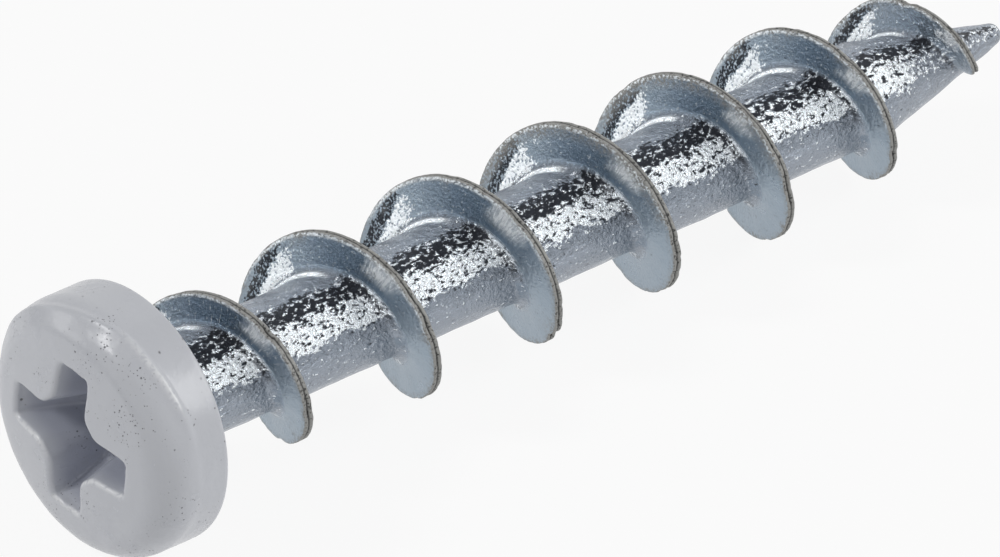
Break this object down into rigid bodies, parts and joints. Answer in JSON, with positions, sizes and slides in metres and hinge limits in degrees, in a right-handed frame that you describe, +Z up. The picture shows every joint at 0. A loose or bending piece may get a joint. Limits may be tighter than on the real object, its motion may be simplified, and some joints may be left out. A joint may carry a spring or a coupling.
{
  "type": "drywall anchor",
  "caption": "One-piece steel drywall anchor screw with deep coarse flights, a spike tip and a white painted pan head with a cross recess.",
  "frame": {"origin": "on the screw's axis, in the plane of the bearing face under the head", "axes": "+X runs from the head to the tip, level, with the tip about 2 degrees lower than the head's centre; +Z is up, with the anchor lying on its side as it comes to rest"},
  "size_m": [0.0381, 0.0082, 0.0083],
  "materials": {
    "zinc_plated_steel": "bright zinc plate with a hammered grain and a faint blue passivation tint",
    "white_paint": "thick semi-gloss white paint with fine dark pinholes"
  },
  "bodies": {
    "root": {"anchor_screw": "zinc_plated_steel"}
  },
  "joints": []
}
